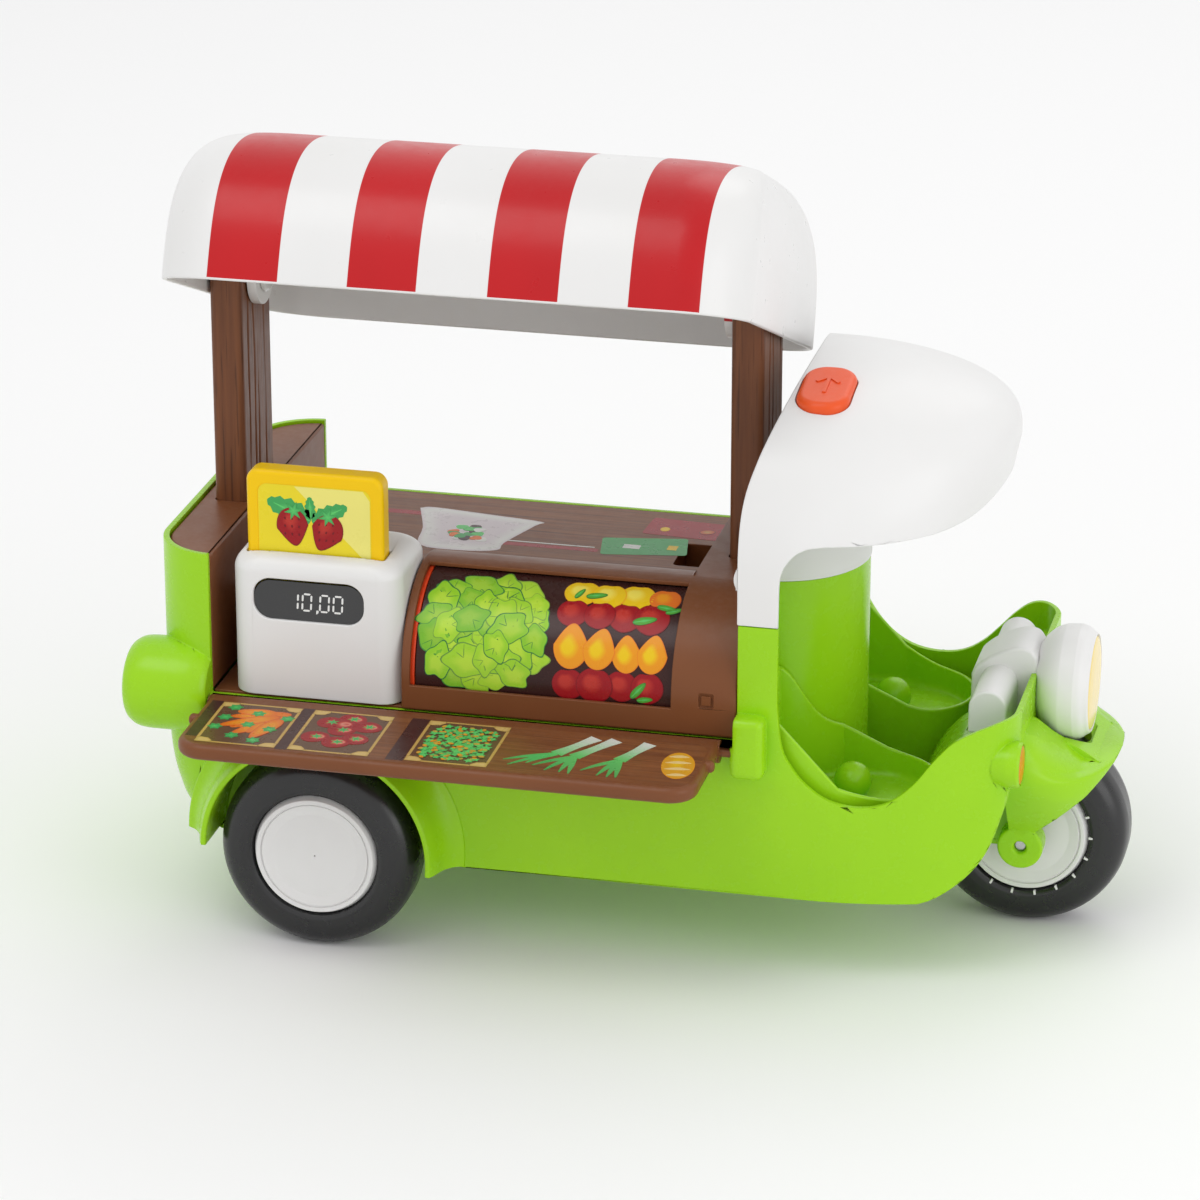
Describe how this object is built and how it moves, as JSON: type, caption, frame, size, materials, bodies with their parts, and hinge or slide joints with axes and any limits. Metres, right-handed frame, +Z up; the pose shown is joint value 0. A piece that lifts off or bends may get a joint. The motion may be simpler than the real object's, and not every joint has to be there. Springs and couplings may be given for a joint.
{
  "type": "toy market truck",
  "caption": "Play market truck on three wheels with lift-up striped canopy, turning display drum, till with card, fold-up tray and open cab.",
  "frame": {"origin": "middle of the truck's outline in plan, on the ground", "axes": "+X to the front of the truck, +Y to the side away from the customer, +Z up"},
  "size_m": [0.3876, 0.2388, 0.3116],
  "materials": {
    "leaf_green": "satin moulded plastic",
    "white": "satin moulded plastic",
    "brown": "fine matt moulded plastic",
    "yellow": "glossy",
    "orange": "glossy",
    "amber": "glossy",
    "red": "glossy",
    "cream": "glossy",
    "clear": "milky translucent plastic",
    "print": "printed label on a plastic tube",
    "tyre": "black plastic, slight sheen",
    "steel": "plain wire and rod"
  },
  "bodies": {
    "truck": {"body_shell": "leaf_green", "base_plate": "leaf_green", "base_screw_1": "steel", "base_screw_2": "steel", "base_screw_3": "steel", "base_screw_4": "steel", "turn_signal_near": "amber", "turn_signal_far": "amber", "tail_light_near": "red", "tail_light_far": "red", "rear_deck": "brown", "counter": "brown", "display_frame": "brown", "tray_catch_peg": "brown", "till_housing": "white", "drum_axle": "steel", "rear_lift_spring": "steel", "front_lift_spring": "steel", "cab_bulkhead": "leaf_green", "seat_near": "leaf_green", "seat_far": "leaf_green", "cab_roof": "white", "button_spring": "steel", "front_fork": "leaf_green", "handlebar": "white", "headlight_shell": "white", "headlight_lens": "cream", "front_axle": "steel", "rear_axle": "steel"},
    "lift": {"rear_column": "brown", "front_column": "brown", "rear_pivot_pin": "clear", "front_pivot_pin": "clear"},
    "canopy": {"canopy_shell": "white"},
    "tray": {"fold_tray": "brown"},
    "card": {"price_card": "yellow"},
    "drum": {"drum_shell": "print", "drum_end_rear": "orange", "drum_end_front": "orange"},
    "front_wheel": {"front_tyre": "tyre", "front_hub": "white"},
    "rear_wheel_near": {"rear_tyre_near": "tyre", "rear_hub_near": "white"},
    "rear_wheel_far": {"rear_tyre_far": "tyre", "rear_hub_far": "white"},
    "button": {"roof_button": "orange", "release_rod": "steel"},
    "latch": {"lift_latch": "white"}
  },
  "joints": [
    {"name": "canopy_lift", "type": "slide", "parent": "truck", "child": "lift", "axis": [0, 0, 1], "range_m": [-0.077, 0], "stiffness_N_per_m": 120, "springref_m": 0.05, "deforming": ["rear_lift_spring", "front_lift_spring"]},
    {"name": "canopy_tilt", "type": "hinge", "parent": "lift", "child": "canopy", "pos_m": [-0.02215, 0.0192, 0.246], "axis": [1, 0, 0], "range_deg": [0, 22.2]},
    {"name": "tray_fold", "type": "hinge", "parent": "truck", "child": "tray", "pos_m": [-0.02215, -0.0688, 0.095], "axis": [-1, 0, 0], "range_deg": [0, 90]},
    {"name": "price_card", "type": "slide", "parent": "truck", "child": "card", "axis": [0, 0, 1], "range_m": [0, 0.012]},
    {"name": "drum_spin", "type": "hinge", "parent": "truck", "child": "drum", "pos_m": [-0.02215, -0.0253, 0.11], "axis": [1, 0, 0], "continuous": true},
    {"name": "front_wheel_spin", "type": "hinge", "parent": "truck", "child": "front_wheel", "pos_m": [0.15385, 0.0192, 0.04], "axis": [0, 1, 0], "continuous": true},
    {"name": "rear_wheel_near_spin", "type": "hinge", "parent": "truck", "child": "rear_wheel_near", "pos_m": [-0.11355, -0.067, 0.04], "axis": [0, 1, 0], "continuous": true},
    {"name": "rear_wheel_far_spin", "type": "hinge", "parent": "truck", "child": "rear_wheel_far", "pos_m": [-0.11355, 0.1054, 0.04], "axis": [0, 1, 0], "continuous": true},
    {"name": "roof_button", "type": "slide", "parent": "truck", "child": "button", "axis": [0, 0, 1], "range_m": [-0.0035, 0], "stiffness_N_per_m": 400, "springref_m": 0.002, "deforming": ["button_spring"]},
    {"name": "latch_slide", "type": "slide", "parent": "truck", "child": "latch", "axis": [1, 0, 0], "range_m": [0, 0.0035]}
  ],
  "couplings": [
    {"joint": "canopy_tilt", "follows": "canopy_lift", "rad_per_m": -5.0318},
    {"joint": "latch_slide", "follows": "roof_button", "ratio": -1}
  ]
}
